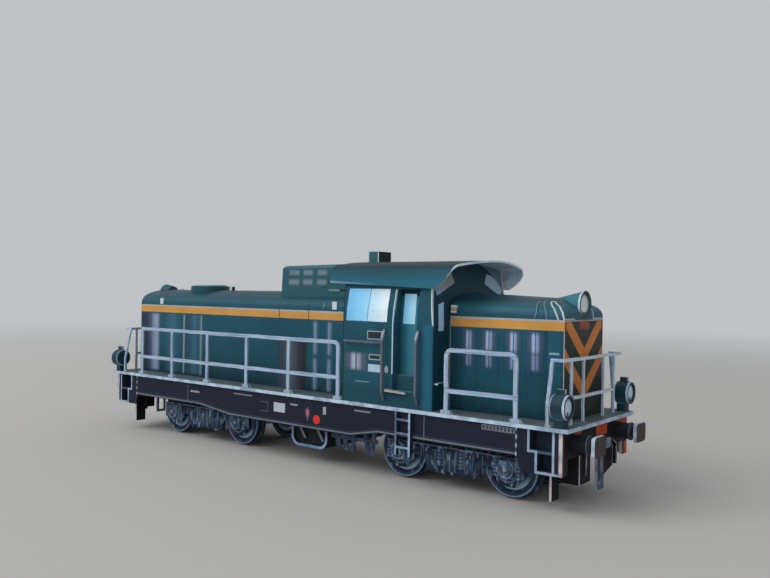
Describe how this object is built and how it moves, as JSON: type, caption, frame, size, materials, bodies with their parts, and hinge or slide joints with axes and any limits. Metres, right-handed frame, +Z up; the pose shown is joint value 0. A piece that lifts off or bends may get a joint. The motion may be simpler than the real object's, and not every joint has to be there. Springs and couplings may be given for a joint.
{
  "type": "diesel locomotive, card model at 1:87",
  "caption": "Card model of a diesel shunting locomotive: two hoods, an offset cab with a curved visor, handrails and two swivelling bogies.",
  "frame": {"origin": "middle of the deck, level with the wheel bottoms", "axes": "+X towards the short hood, +Y to the left side, +Z up"},
  "size_m": [0.1572, 0.036, 0.0524],
  "materials": {
    "green_card": "printed card, teal green, matt",
    "dark_card": "printed card, near-black brown, matt",
    "white_card": "cut card strip, light grey-white, matt",
    "red_card": "printed card, orange-red and black, matt",
    "grey_card": "printed card, grey shading on black, matt",
    "wheel_card": "laminated card disc, grey print, light cut rim",
    "window_print": "printed card, light blue to white",
    "black_card": "printed card, black, matt",
    "brown_rail": "rolled paper rod, brown-grey"
  },
  "bodies": {
    "locomotive": {"beam_front": "red_card", "beam_rear": "red_card", "buffers_front": "black_card", "buffers_rear": "black_card", "cab_front_wall": "green_card", "cab_panes": "window_print", "cab_rear_wall": "green_card", "cab_roof": "green_card", "cab_side_left": "green_card", "cab_side_right": "green_card", "corner_lamps_front": "green_card", "corner_lamps_rear": "green_card", "deck": "white_card", "door_left": "green_card", "door_right": "green_card", "end_rail_front": "white_card", "end_rail_rear": "white_card", "frame_floor": "black_card", "grab_rails": "brown_rail", "hangers": "grey_card", "hood_cover": "green_card", "hood_long": "green_card", "hood_rail_left": "white_card", "hood_rail_right": "white_card", "hood_short": "green_card", "hook_front": "black_card", "hook_rear": "black_card", "hoses_front": "black_card", "hoses_rear": "black_card", "ladders": "dark_card", "marker_boxes": "white_card", "roof_box": "green_card", "side_rail_left": "white_card", "side_rail_right": "white_card", "sill_left": "dark_card", "sill_right": "dark_card", "steps_front": "dark_card", "steps_rear": "dark_card", "tank": "grey_card", "top_lamp_front": "green_card", "top_lamp_rear": "green_card", "vent_box": "green_card"},
    "bogie_rear": {"bogie_rear": "grey_card"},
    "wheelset_rear_a": {"wheelset_rear_a": "wheel_card"},
    "wheelset_rear_b": {"wheelset_rear_b": "wheel_card"},
    "bogie_front": {"bogie_front": "grey_card"},
    "wheelset_front_a": {"wheelset_front_a": "wheel_card"},
    "wheelset_front_b": {"wheelset_front_b": "wheel_card"}
  },
  "joints": [
    {"name": "bogie_rear_pivot", "type": "hinge", "parent": "locomotive", "child": "bogie_rear", "pos_m": [-0.0379, 0, 0.011], "axis": [0, 0, 1], "range_deg": [-6, 6]},
    {"name": "wheelset_rear_a_axle", "type": "hinge", "parent": "bogie_rear", "child": "wheelset_rear_a", "pos_m": [-0.05175, 0, 0.0066], "axis": [0, 1, 0], "continuous": true},
    {"name": "wheelset_rear_b_axle", "type": "hinge", "parent": "bogie_rear", "child": "wheelset_rear_b", "pos_m": [-0.02405, 0, 0.0066], "axis": [0, 1, 0], "continuous": true},
    {"name": "bogie_front_pivot", "type": "hinge", "parent": "locomotive", "child": "bogie_front", "pos_m": [0.0451, 0, 0.011], "axis": [0, 0, 1], "range_deg": [-6, 6]},
    {"name": "wheelset_front_a_axle", "type": "hinge", "parent": "bogie_front", "child": "wheelset_front_a", "pos_m": [0.03125, 0, 0.0066], "axis": [0, 1, 0], "continuous": true},
    {"name": "wheelset_front_b_axle", "type": "hinge", "parent": "bogie_front", "child": "wheelset_front_b", "pos_m": [0.05895, 0, 0.0066], "axis": [0, 1, 0], "continuous": true}
  ]
}
